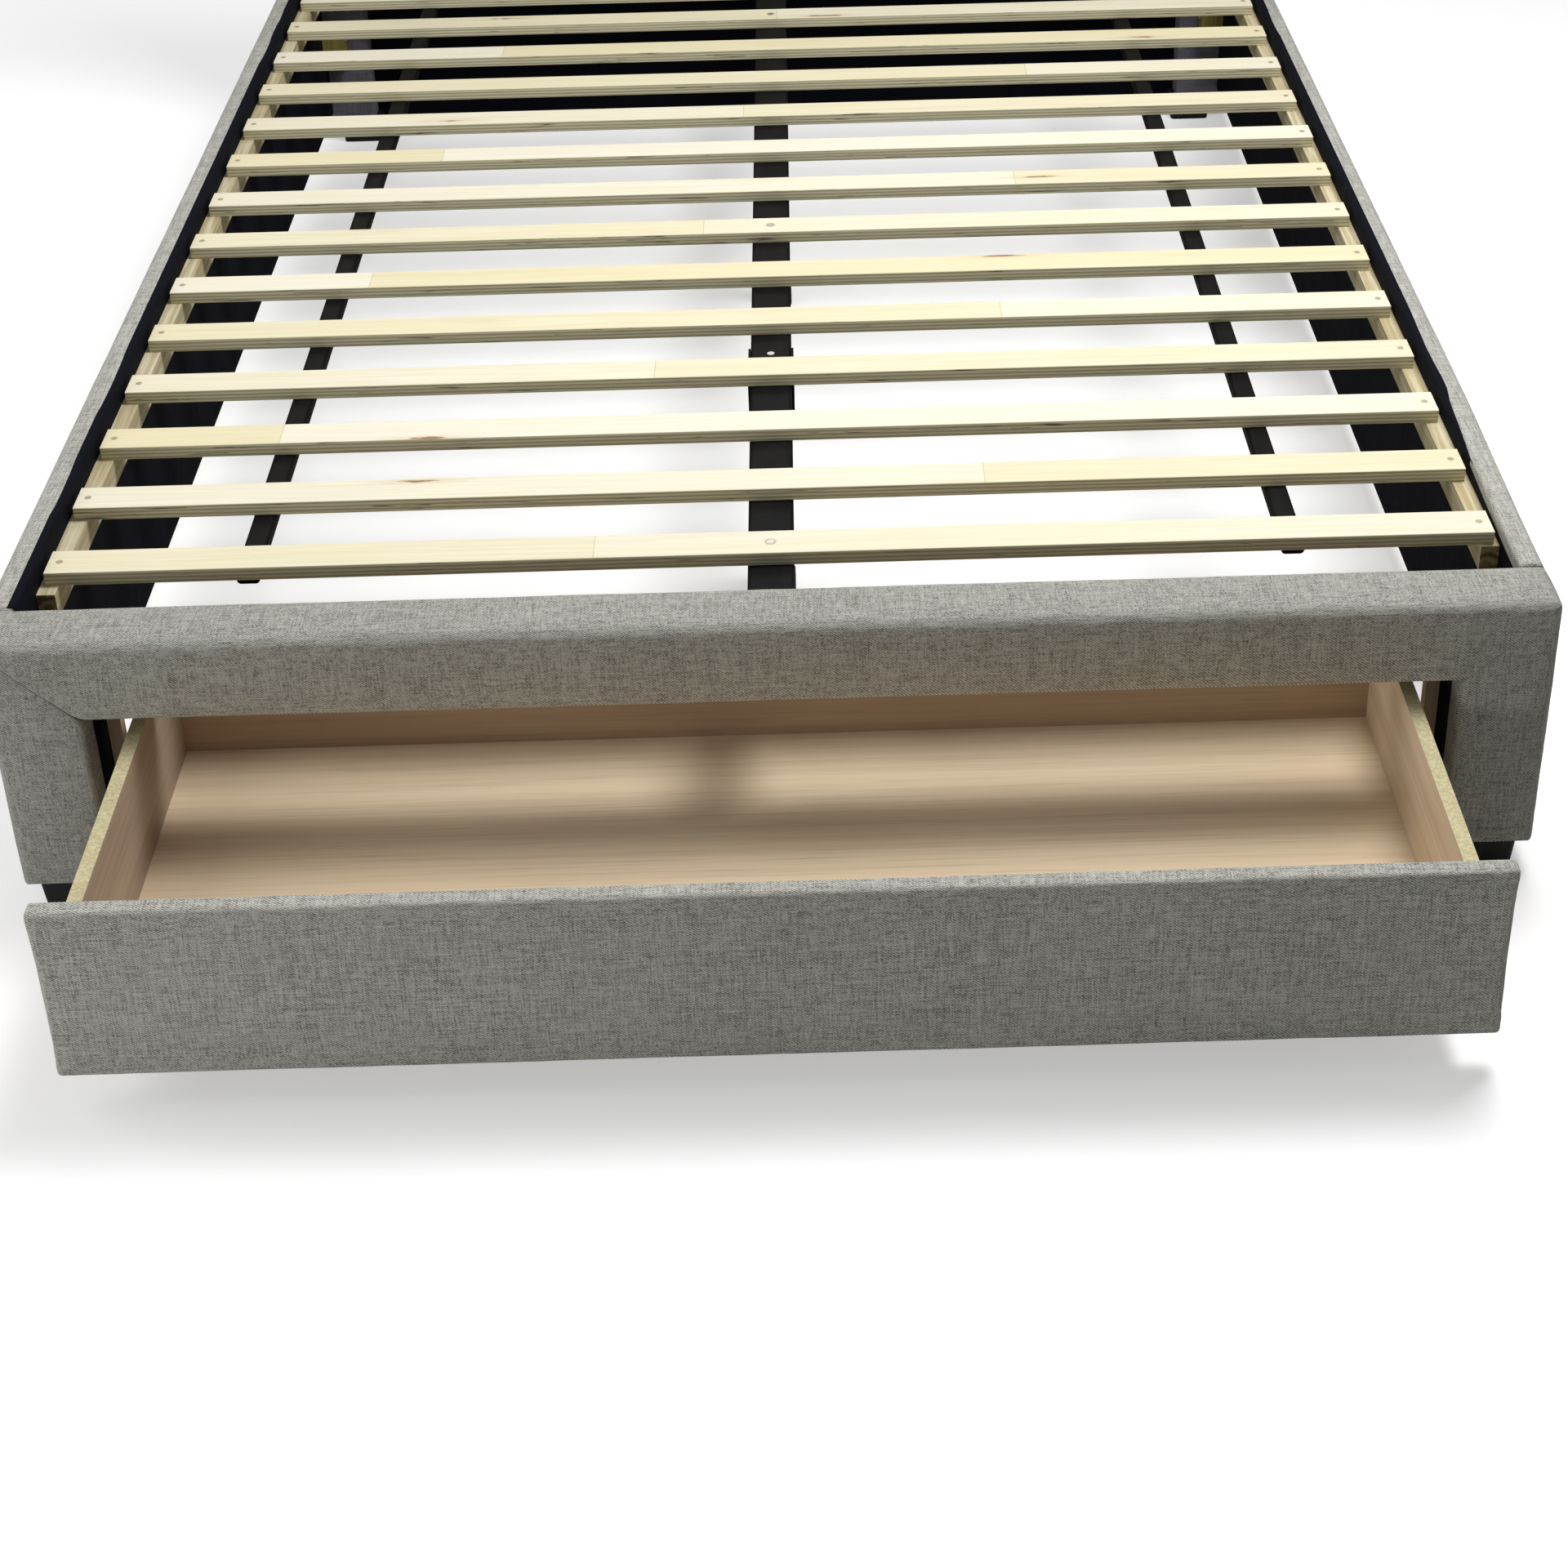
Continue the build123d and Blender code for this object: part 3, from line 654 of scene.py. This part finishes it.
def footboard_top():
    back = FOOT_BACK - BACK_GAP
    ys = stops(FOOT_FACE, back, FINE, COARSE, MARGIN)
    zs = stops(OPENING_TOP, RAIL_TOP, FINE, COARSE, MARGIN)
    xs = stops(-HALF, HALF, FINE, COARSE, MARGIN)

    def shape(p):
        reach = OPENING_HALF + (p.z - OPENING_TOP) * LEG_WIDTH / RAIL_HEIGHT
        p = Vector((p.x * reach / HALF, p.y, p.z))
        p = round_to(p, FRONT_EDGE, y=(FOOT_FACE, FAR), z=(-FAR, RAIL_TOP))
        p = round_to(p, OUTER_EDGE, x=(-HALF, HALF), z=(-FAR, RAIL_TOP))
        p = round_to(p, OPENING_EDGE, y=(FOOT_FACE, FAR), z=(OPENING_TOP, FAR))
        return round_to(p, BACK_EDGE, y=(-FAR, back), z=(-FAR, RAIL_TOP))

    def puff(p, n):
        across = hump((p.z - OPENING_TOP) / RAIL_HEIGHT, 2.5)
        deep = hump((p.y - FOOT_FACE) / (back - FOOT_FACE), 2.5)
        amount = FRONT_PUFF * across * max(0, -n.y) + TOP_PUFF * deep * max(0, n.z)
        return amount + 0.5 * MM * ripple(p, 0.09, 1) + 0.25 * MM * ripple(p, 0.03, 2) + mitre(p)

    def held(p):
        ridge = p.y < FOOT_FACE + HEM and p.z > RAIL_TOP - HEM
        return ridge or p.y > back - HEM or p.z < OPENING_TOP + HEM or mitre_away(p) < HEM

    cover = soft_block("footboard_top_padding", xs, ys, zs, shape, puff, LINEN_FOOT_PAINTED_SHADE)
    plump(cover, held, FOOTBOARD_GIVE)
    dress(cover, "bed_frame", "footboard_top_cover")


def dress(piece, body, node):
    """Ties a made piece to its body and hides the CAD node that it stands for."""
    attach(piece, body)
    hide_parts(node)


def footboard_leg(side):
    back = FOOT_BACK - BACK_GAP
    word = "left" if side < 0 else "right"
    inner, outer = side * OPENING_HALF, side * HALF
    xs = stops(min(inner, outer), max(inner, outer), FINE, COARSE, MARGIN)
    ys = stops(FOOT_FACE, back, FINE, COARSE, MARGIN)
    zs = stops(LEG_BOTTOM, RAIL_TOP, FINE, COARSE, MARGIN)

    def shape(p):
        reach = (abs(p.x) - OPENING_HALF) / LEG_WIDTH
        top = OPENING_TOP + reach * RAIL_HEIGHT
        t = (p.z - LEG_BOTTOM) / (RAIL_TOP - LEG_BOTTOM)
        p = Vector((p.x, p.y, LEG_BOTTOM + t * (top - LEG_BOTTOM)))
        p = round_to(p, OUTER_EDGE, x=(-HALF, HALF), y=(FOOT_FACE, FAR), z=(-FAR, RAIL_TOP))
        p = round_to(p, LEG_FOOT_EDGE, x=(-HALF, HALF), y=(FOOT_FACE, FAR), z=(LEG_BOTTOM, FAR))
        free = (-FAR, inner) if side < 0 else (inner, FAR)
        return round_to(p, LEG_INNER_EDGE, x=free, y=(FOOT_FACE, FAR))

    def puff(p, n):
        across = hump((abs(p.x) - OPENING_HALF) / LEG_WIDTH, 2.5)
        amount = LEG_PUFF * across * max(0, -n.y) * hump((p.z - LEG_BOTTOM) / RAIL_TOP, 8)
        amount += SIDE_PUFF * hump((p.y - FOOT_FACE) / (back - FOOT_FACE), 2.5) * max(0, side * n.x)
        return amount + 0.5 * MM * ripple(p, 0.08, 4) + 0.2 * MM * ripple(p, 0.03, 5) + mitre(p)

    def held(p):
        edge = not OPENING_HALF + HEM < abs(p.x) < HALF - HEM and p.y < FOOT_FACE + HEM
        inside = abs(p.x) < OPENING_HALF + 2 * MM
        return edge or inside or p.y > back - HEM or p.z < LEG_BOTTOM + HEM or mitre_away(p) < HEM

    cover = soft_block(f"footboard_{word}_leg_padding", xs, ys, zs, shape, puff, LINEN_FOOT_PAINTED_SHADE)
    plump(cover, held, FOOTBOARD_GIVE)
    dress(cover, "bed_frame", f"footboard_{word}_leg_cover")


def drawer_front():
    lo, hi = low("drawer_front_cover"), high("drawer_front_cover")
    back = hi.y - 0.3 * MM
    xs = stops(lo.x, hi.x, FINE, COARSE, MARGIN)
    ys = stops(lo.y, back, 2 * MM, 4 * MM, 8 * MM)
    zs = stops(lo.z, hi.z, FINE, COARSE, MARGIN)

    def shape(p):
        p = round_to(p, DRAWER_EDGE, x=(lo.x, hi.x), y=(lo.y, FAR), z=(lo.z, hi.z))
        return round_to(p, DRAWER_BACK_EDGE, x=(lo.x, hi.x), y=(-FAR, back), z=(lo.z, hi.z))

    def puff(p, n):
        across = hump((p.z - lo.z) / (hi.z - lo.z), 3) * hump((p.x - lo.x) / (hi.x - lo.x), 14)
        amount = DRAWER_PUFF * across * max(0, -n.y)
        return amount + 0.4 * MM * ripple(p, 0.10, 7) + 0.2 * MM * ripple(p, 0.03, 8)

    def held(p):
        return p.y > lo.y + HEM or not lo.z + HEM < p.z < hi.z - HEM

    cover = soft_block("drawer_front_padding", xs, ys, zs, shape, puff, LINEN)
    plump(cover, held, DRAWER_GIVE)
    dress(cover, "drawer", "drawer_front_cover")


def headboard():
    lo, hi = low("headboard_cover"), high("headboard_cover")
    back = hi.y - 0.5 * MM
    xs = stops(lo.x, hi.x, 4 * MM, 14 * MM, 40 * MM)
    ys = stops(lo.y, back, 4 * MM, 8 * MM, 16 * MM)
    zs = stops(lo.z, hi.z, 4 * MM, 14 * MM, 40 * MM)

    def shape(p):
        p = round_to(p, PANEL_EDGE, x=(lo.x, hi.x), y=(lo.y, FAR), z=(lo.z - 0.05, hi.z))
        return round_to(p, PANEL_BACK_EDGE, y=(-FAR, back), z=(-FAR, hi.z))

    def puff(p, n):
        across = hump((p.z - lo.z) / (hi.z - lo.z), 4) * hump((p.x - lo.x) / (hi.x - lo.x), 6)
        amount = PANEL_PUFF * across * max(0, -n.y)
        return amount + 0.8 * MM * ripple(p, 0.16, 9) + 0.3 * MM * ripple(p, 0.05, 10)

    def held(p):
        return p.y > lo.y + 2 * HEM or p.z < lo.z + HEM

    cover = soft_block("headboard_padding", xs, ys, zs, shape, puff, LINEN_PANEL)
    plump(cover, held, PANEL_GIVE)
    dress(cover, "bed_frame", "headboard_cover")


# The dust cloth laps over the top edge of each rail, but beside the footboard the linen of the
# right rail is pulled over it instead, and runs down the inner face.
LAP = 5 * MM
FOLD = 18 * MM                         # how far down the inner face the linen is turned
FOLD_RUN = 420 * MM                    # how far from the footboard that fades out
STUFFING = {-1: 7 * MM, 1: 3 * MM}     # how far the upholstery stands out at the top
PINCH = {-1: 0.0, 1: 5 * MM}           # how much less it does beside the footboard
CLOTH_THICK = 0.5 * MM
SAG = 1.5 * MM                         # of the dust cloth below the batten


def beside_footboard(y):
    """1 at the footboard's back, falling to 0 where the folded linen ends."""
    t = min(1.0, max(0.0, (y - FOOT_BACK) / FOLD_RUN))
    return 1.0 - t * t * (3 - 2 * t)


def rail_cover(side):
    word = "left" if side < 0 else "right"
    lo, hi = low(word + "_rail_cover"), high(word + "_rail_cover")
    core_lo, core_hi = low(word + "_rail_core"), high(word + "_rail_core")
    outer = max(abs(lo.x), abs(hi.x))
    inner = min(abs(lo.x), abs(hi.x)) + 1.2 * MM
    core_outer = max(abs(core_lo.x), abs(core_hi.x)) + 0.2 * MM
    top, bottom = hi.z, lo.z
    under_top, over_bottom = core_hi.z + 0.2 * MM, core_lo.z - 0.2 * MM
    crown, inner_crown, flap = 8 * MM, 6 * MM, 1.3 * MM
    skin = inner - 2.6 * MM if side > 0 else inner
    ring = []
    if side > 0:
        ring += [(skin + flap, under_top), (skin + flap, top - FOLD), (skin, top - FOLD)]
        ring += line((skin, top - FOLD), (skin, top - inner_crown), 5)
    ring += arc(skin + inner_crown, top - inner_crown, inner_crown, 180, 90, 8)
    ring += line((skin + inner_crown, top), (outer - crown, top), 5)
    ring += arc(outer - crown, top - crown, crown, 90, 0, 10)
    ring += line((outer, top - crown), (outer, bottom + 5 * MM), 24)
    ring += arc(outer - 5 * MM, bottom + 5 * MM, 5 * MM, 0, -90)
    ring += [(inner + 2 * MM, bottom), (inner + 2 * MM, over_bottom), (core_outer, over_bottom)]
    ring += [(core_outer, under_top)]
    if side < 0:
        ring += [(inner, under_top)]

    def bend(p):
        t = (p.z - bottom) / (top - bottom)
        near = beside_footboard(p.y)
        reach = min(1.0, max(0.0, (p.x - inner - 4 * MM) / (outer - inner - 4 * MM)))
        swell = STUFFING[side] * (0.35 + 0.65 * t * t) + 1.6 * MM * hump(t, 3) - PINCH[side] * near
        x = p.x + reach * (swell + 0.6 * MM * ripple(p, 0.12, 12))
        z = p.z
        if p.z > top - 4 * MM:
            z += 0.8 * MM * hump((p.x - inner) / (outer - inner), 2) + 0.35 * MM * ripple(p, 0.10, 13)
        if side > 0 and p.x < core_outer - 4 * MM:
            x += 2.6 * MM * (1 - near) * max(0.0, 1 - (p.x - skin) / (12 * MM))
            depth = max(0.0, top - inner_crown - p.z)
            z += depth * 0.95 * (1 - near) if p.z < under_top - 0.5 * MM else 0.0
        return Vector((side * x, p.y, z))

    def held(p):
        ends = p.y < lo.y + HEM or p.y > hi.y - HEM
        return ends or abs(p.x) < outer - 6 * MM or not bottom + 2 * HEM < p.z < top - 2 * HEM

    places = stops(lo.y + 0.4 * MM, hi.y - 0.3 * MM, 6 * MM, 12 * MM, 24 * MM)
    cover = sweep(f"{word}_rail_padding", ring, places, LINEN, bend)
    plump(cover, held, RAIL_GIVE)
    dress(cover, "bed_frame", word + "_rail_cover")


def rail_cloth(side):
    """Dust cloth stapled to a rail's inner face and lapped over its top edge."""
    word = "left" if side < 0 else "right"
    lo, hi = low(word + "_rail_lining"), high(word + "_rail_lining")
    face = min(abs(lo.x), abs(hi.x))
    corner = 4 * MM
    top = high(word + "_rail_cover").z + 0.7 * MM
    inside = face + 0.1 * MM
    outside = inside + CLOTH_THICK
    ring = [(inside + corner + LAP, top - CLOTH_THICK), (inside + corner + LAP, top)]
    ring += arc(inside + corner, top - corner, corner, 90, 180)
    ring += line((inside, top - corner), (inside, lo.z), 20)
    ring += [(inside, lo.z), (outside, lo.z)]
    ring += line((outside, lo.z), (outside, top - corner), 20)
    ring += arc(inside + corner, top - corner, corner - CLOTH_THICK, 180, 90)
    batten_low = low(word + "_batten").z

    def bend(p):
        free = hump((p.z - lo.z) / (batten_low - lo.z), 2) if p.z < batten_low else 0.0
        sag = SAG * free * (0.5 + 0.5 * ripple(Vector((0, p.y, p.z * 0.4)), 0.22, 15))
        near = beside_footboard(p.y) if side > 0 else 0.0
        tucked = Vector((min(p.x, outside), 0, min(p.z, hi.z - 1 * MM)))
        x, z = p.x + (tucked.x - p.x) * near, p.z + (tucked.z - p.z) * near
        return Vector((side * (x - sag), p.y, z))

    places = stops(lo.y + 0.4 * MM, hi.y - 0.4 * MM, 8 * MM, 16 * MM, 24 * MM)
    cloth = sweep(f"{word}_rail_dust_cloth", ring, places, CLOTH, bend)
    dress(cloth, "bed_frame", word + "_rail_lining")


def footboard_cloth():
    """Dust cloth on the footboard's back, turned into the drawer opening."""
    lo, hi = low("footboard_back_lining"), high("footboard_back_lining")
    thick = CLOTH_THICK
    turn = FOOT_FACE + 32 * MM      # where the cloth ends inside the opening
    made = bmesh.new()

    def plate(a, b, cut):
        """A thin plate between two corners, cut into a grid."""
        spans = [stops(a[i], b[i], cut, cut, cut) if b[i] - a[i] > 2 * thick else [a[i], b[i]]
                 for i in range(3)]
        points, quads = box_surface(*spans)
        verts = [made.verts.new(p) for p in points]
        for quad in quads:
            made.faces.new([verts[i] for i in quad])

    y0, y1 = hi.y - 0.8 * MM, hi.y - 0.8 * MM + thick
    step = 12 * MM
    plate((lo.x, y0, OPENING_TOP), (hi.x, y1, hi.z), step)
    for side in (-1, 1):
        near, far = sorted((side * OPENING_HALF, side * abs(hi.x)))
        plate((near, y0, lo.z), (far, y1, OPENING_TOP - 0.2 * MM), step)
        skin = sorted((side * (OPENING_HALF - 0.2 * MM), side * (OPENING_HALF - 0.2 * MM - thick)))
        plate((skin[0], turn, LEG_BOTTOM + 4 * MM), (skin[1], y1, OPENING_TOP - 0.3 * MM), step)
    plate((-OPENING_HALF + 1 * MM, turn, OPENING_TOP - 0.3 * MM - thick),
          (OPENING_HALF - 1 * MM, y1, OPENING_TOP - 0.3 * MM), step)
    mesh = bpy.data.meshes.new("footboard_dust_cloth")
    bmesh.ops.recalc_face_normals(made, faces=made.faces)
    made.to_mesh(mesh)
    made.free()
    cloth = add_object("footboard_dust_cloth", mesh, CLOTH, smooth=False)
    dress(cloth, "bed_frame", "footboard_back_lining")
    depth = y1 - turn
    area = (hi.x - lo.x) * (hi.z - OPENING_TOP) + 2 * (hi.x - OPENING_HALF) * (OPENING_TOP - lo.z)
    area += 2 * depth * (OPENING_TOP - LEG_BOTTOM) + 2 * OPENING_HALF * depth


# ------------------------------------------------------------------ stage, light and camera
STAGE_SIZE = 40.0      # half the floor's width
SKY = 0.16


def stage():
    """A pale floor and walls for the camera, a dimmer bounce board under them, and an even sky."""
    size, pale = STAGE_SIZE, stage_floor()
    corners = ((-1, -1), (1, -1), (1, 1), (-1, 1))
    flat, upright = [[0, 1, 2, 3]], [[i, (i + 1) % 4, (i + 1) % 4 + 4, i + 4] for i in range(4)]
    for name, height, faces, material in (("floor", 0.0, flat, pale), ("walls", 0.0, upright, pale),
                                          ("bounce", -5 * MM, flat, bounce_board())):
        points = [Vector((x * size, y * size, z)) for z in (height, size) for x, y in corners]
        if faces is flat:
            points = points[:4]
        board = add_object(name, mesh_from(name, points, faces), material, smooth=False)
        seen = name != "bounce"
        board.visible_camera = seen
        board.visible_diffuse = not seen
        board.visible_glossy = not seen
        board.visible_shadow = not seen
    world = bpy.data.worlds.new("studio")
    world.use_nodes = True
    world.node_tree.nodes["Background"].inputs["Color"].default_value = rgb(1.0, 1.0, 1.0)
    world.node_tree.nodes["Background"].inputs["Strength"].default_value = SKY
    bpy.context.scene.world = world
    bpy.context.scene.view_settings.view_transform = "Standard"


def lamp(name, place, target, width, height, power):
    data = bpy.data.lights.new(name, "AREA")
    data.shape = "RECTANGLE"
    data.size, data.size_y, data.energy = width, height, power
    obj = bpy.data.objects.new(name, data)
    bpy.context.collection.objects.link(obj)
    obj.location = place
    obj.rotation_euler = (Vector(target) - Vector(place)).to_track_quat("-Z", "Y").to_euler()


def camera():
    """The photographer's place: standing at the foot, looking down over the bed."""
    pitch, roll, yaw = math.radians(29.63), math.radians(-1.41), math.radians(0.44)
    data = bpy.data.cameras.new("camera")
    data.sensor_width = 36.0
    data.lens = 60.49
    data.shift_x, data.shift_y = -0.0300, -0.2086
    obj = bpy.data.objects.new("camera", data)
    bpy.context.collection.objects.link(obj)
    tilt = Matrix.Rotation(math.radians(90) - pitch, 4, "X")
    turn = Matrix.Rotation(-yaw, 4, "Z")
    bank = Matrix.Rotation(roll, 4, "Z")
    obj.matrix_world = Matrix.Translation((0.049, FOOT_FACE - 2.2405, 1.8154)) @ turn @ tilt @ bank
    bpy.context.scene.camera = obj


paint_frame()
footboard_top()
for side in (-1, 1):
    footboard_leg(side)
    rail_cover(side)
    rail_cloth(side)
footboard_cloth()
drawer_front()
headboard()
stage()
lamp("ceiling", (1.0, -0.15, 3.2), (0.1, -0.7, 0.2), 1.2, 1.2, 84)
lamp("head_fill", (-0.6, 3.2, 3.4), (0, 0, 0.3), 2.5, 2.0, 42)
lamp("left_fill", (-2.6, -0.9, 2.2), (0, -0.9, 0.1), 2.0, 2.0, 24)
lamp("left_front_fill", (-1.9, -2.7, 0.5), (-0.7, -1.25, 0.15), 0.9, 0.6, 13)
camera()
